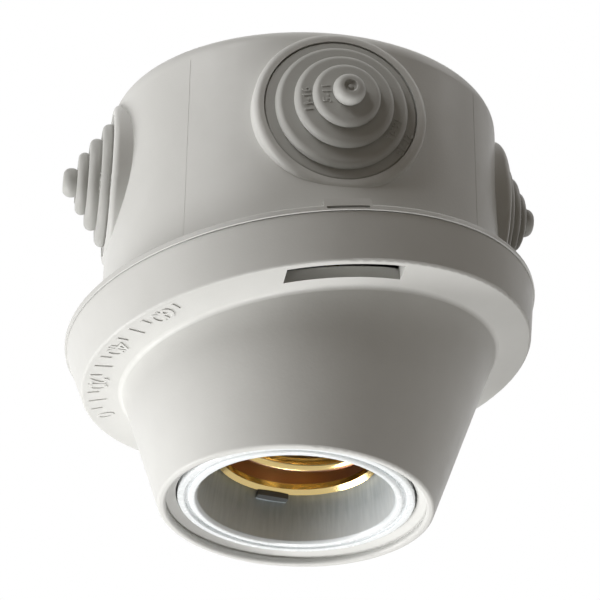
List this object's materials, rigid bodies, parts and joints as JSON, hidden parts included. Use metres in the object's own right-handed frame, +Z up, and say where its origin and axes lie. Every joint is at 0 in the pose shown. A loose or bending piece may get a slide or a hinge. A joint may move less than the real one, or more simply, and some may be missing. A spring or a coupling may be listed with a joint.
{
  "type": "adjustable lamp holder",
  "caption": "Round ceiling box with stepped cable entries and a slanted rim, carrying a cone hood with a screw lamp socket that tilts as it is turned.",
  "frame": {"origin": "middle of the box's flat ceiling face", "axes": "+Z up into the ceiling along the box's axis, -Y towards the front cable entry, +X to the right"},
  "size_m": [0.0864, 0.0864, 0.0785],
  "materials": {
    "grey_plastic": "satin moulded",
    "grommet_plastic": "satin moulded",
    "gasket_rubber": "matt",
    "white_ceramic": "glazed",
    "shell_brass": "bright rolled",
    "contact_metal": "satin",
    "rivet_metal": "satin",
    "terminal_brass": "machined",
    "screw_steel": "zinc plated"
  },
  "bodies": {
    "box": {"back_box": "grey_plastic", "rim_gasket": "gasket_rubber", "entry_grommet_front": "grommet_plastic", "entry_grommet_right": "grommet_plastic", "entry_grommet_back": "grommet_plastic", "entry_grommet_left": "grommet_plastic"},
    "head": {"cover_hood": "grey_plastic", "holder_body": "white_ceramic", "screw_shell": "shell_brass", "shell_rivet": "rivet_metal", "centre_contact": "contact_metal", "centre_rivet": "rivet_metal", "live_terminal": "terminal_brass", "neutral_terminal": "terminal_brass", "live_clamp_screw": "screw_steel", "neutral_clamp_screw": "screw_steel", "holder_screw_left": "screw_steel", "holder_screw_right": "screw_steel", "holder_washer_left": "screw_steel", "holder_washer_right": "screw_steel"}
  },
  "joints": [
    {"name": "head_turn", "type": "hinge", "parent": "box", "child": "head", "pos_m": [0, 0, -0.0406], "axis": [-0.1204, 0.1204, 0.9854], "range_deg": [-60, 120]}
  ]
}
